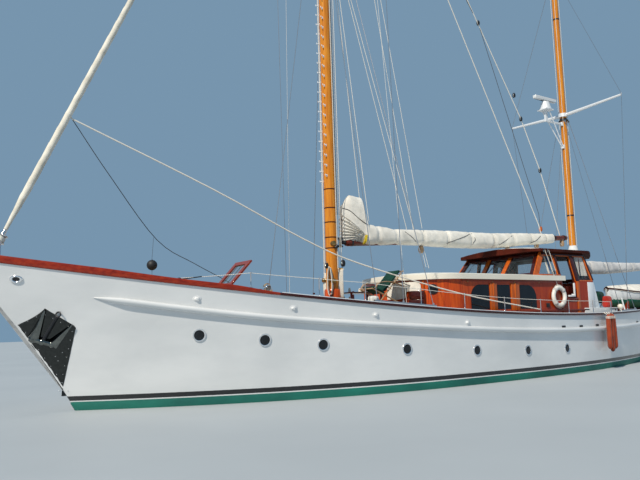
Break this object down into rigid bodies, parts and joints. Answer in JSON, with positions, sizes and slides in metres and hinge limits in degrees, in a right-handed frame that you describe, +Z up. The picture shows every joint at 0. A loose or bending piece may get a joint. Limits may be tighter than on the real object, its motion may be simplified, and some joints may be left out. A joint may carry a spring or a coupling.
{
  "type": "sailing yacht",
  "caption": "Classic wooden ketch with long keel, varnished deckhouse and wheelhouse, covered sails on swinging booms, steered rudder, screw and sliding doors.",
  "frame": {"origin": "on the waterline and the centreline, straight below the foot of the main mast", "axes": "+X to the bow, +Y to port, +Z up"},
  "size_m": [26.7049, 5.996, 25.79],
  "materials": {
    "white_paint": "white gloss paint",
    "green_antifouling": "matt green paint",
    "black_band": "satin black paint",
    "white_plastic": "gloss",
    "varnished_mahogany": "gloss varnish",
    "varnished_spruce": "gloss varnish",
    "bare_teak": "bare",
    "white_canvas": "woven",
    "polished_steel": "polished",
    "white_aluminium": "satin",
    "bronze": "satin",
    "green_cloth": "woven",
    "fender_cloth": "woven",
    "dark_glass": "clear"
  },
  "bodies": {
    "hull": {"aft_wing_port": "white_paint", "aft_wing_starboard": "white_paint", "boot_top": "black_band", "bow_anchor": "polished_steel", "bulwark_port": "white_paint", "bulwark_starboard": "white_paint", "cap_rail_port": "varnished_mahogany", "cap_rail_starboard": "varnished_mahogany", "chair_cushion": "green_cloth", "coachroof": "white_canvas", "deck": "bare_teak", "deck_chair": "bare_teak", "deck_table": "varnished_mahogany", "dinghy": "white_paint", "dinghy_chocks": "varnished_mahogany", "fenders": "fender_cloth", "fore_hatch": "varnished_mahogany", "fore_trunk": "varnished_mahogany", "furled_headsail": "white_canvas", "helm_pedestal": "varnished_mahogany", "house_aft": "varnished_mahogany", "house_front": "varnished_mahogany", "house_side_port": "varnished_mahogany", "house_side_starboard": "varnished_mahogany", "hull_topsides": "white_paint", "hull_underbody": "green_antifouling", "life_ring": "white_plastic", "main_mast": "varnished_spruce", "main_shrouds_port": "polished_steel", "main_shrouds_starboard": "polished_steel", "main_spreaders": "white_aluminium", "mizzen_mast": "varnished_spruce", "mizzen_shrouds_port": "polished_steel", "mizzen_shrouds_starboard": "polished_steel", "mizzen_spreaders": "white_aluminium", "radar_bracket": "white_aluminium", "rub_strake_port": "white_paint", "rub_strake_starboard": "white_paint", "saloon_glass_port": "dark_glass", "saloon_glass_starboard": "dark_glass", "stem_plate": "polished_steel", "stern_bulwark": "white_paint", "wheelhouse_back": "varnished_mahogany", "wheelhouse_floor": "bare_teak", "wheelhouse_roof": "varnished_mahogany", "wheelhouse_side_port": "varnished_mahogany", "wheelhouse_side_starboard": "varnished_mahogany", "windlass": "bronze", "windscreen_frame": "varnished_mahogany"},
    "rudder": {"rudder": "green_antifouling"},
    "propeller": {"propeller": "bronze"},
    "helm": {"helm_wheel": "varnished_mahogany"},
    "main_boom_and_sail": {"main_boom": "varnished_spruce", "main_sail_cover": "white_canvas"},
    "mizzen_boom_and_sail": {"mizzen_boom": "varnished_spruce", "mizzen_sail_cover": "white_canvas"},
    "hatch_lid": {"fore_hatch_lid": "varnished_mahogany"},
    "radar_bar": {"radar_scanner": "white_plastic"},
    "door_port": {"sliding_door_port": "varnished_mahogany"},
    "door_starboard": {"sliding_door_starboard": "varnished_mahogany"}
  },
  "joints": [
    {"name": "rudder_turn", "type": "hinge", "parent": "hull", "child": "rudder", "pos_m": [-12.9, 0, -1.6], "axis": [0, 0, 1], "range_deg": [-35, 35]},
    {"name": "helm_turn", "type": "hinge", "parent": "hull", "child": "helm", "pos_m": [-7.56, 0, 3.18], "axis": [1, 0, 0], "range_deg": [-350, 350]},
    {"name": "propeller_spin", "type": "hinge", "parent": "hull", "child": "propeller", "pos_m": [-11.9, 0, -1.5], "axis": [1, 0, 0], "continuous": true},
    {"name": "main_boom_swing", "type": "hinge", "parent": "hull", "child": "main_boom_and_sail", "pos_m": [-0.33, 0, 4.085], "axis": [0, 0, 1], "range_deg": [-60, 60]},
    {"name": "mizzen_boom_swing", "type": "hinge", "parent": "hull", "child": "mizzen_boom_and_sail", "pos_m": [-11.59, 0, 3.6], "axis": [0, 0, 1], "range_deg": [-55, 55]},
    {"name": "fore_hatch_hinge", "type": "hinge", "parent": "hull", "child": "hatch_lid", "pos_m": [3.495, 0, 2.735], "axis": [0, 1, 0], "range_deg": [-47, 43]},
    {"name": "radar_spin", "type": "hinge", "parent": "hull", "child": "radar_bar", "pos_m": [-10.29, 0, 9.98], "axis": [0, 0, 1], "continuous": true},
    {"name": "port_door_slide", "type": "slide", "parent": "hull", "child": "door_port", "axis": [1, 0, 0], "range_m": [0, 0.73]},
    {"name": "starboard_door_slide", "type": "slide", "parent": "hull", "child": "door_starboard", "axis": [1, 0, 0], "range_m": [0, 0.73]}
  ],
  "couplings": [
    {"joint": "helm_turn", "follows": "rudder_turn", "ratio": 10}
  ]
}
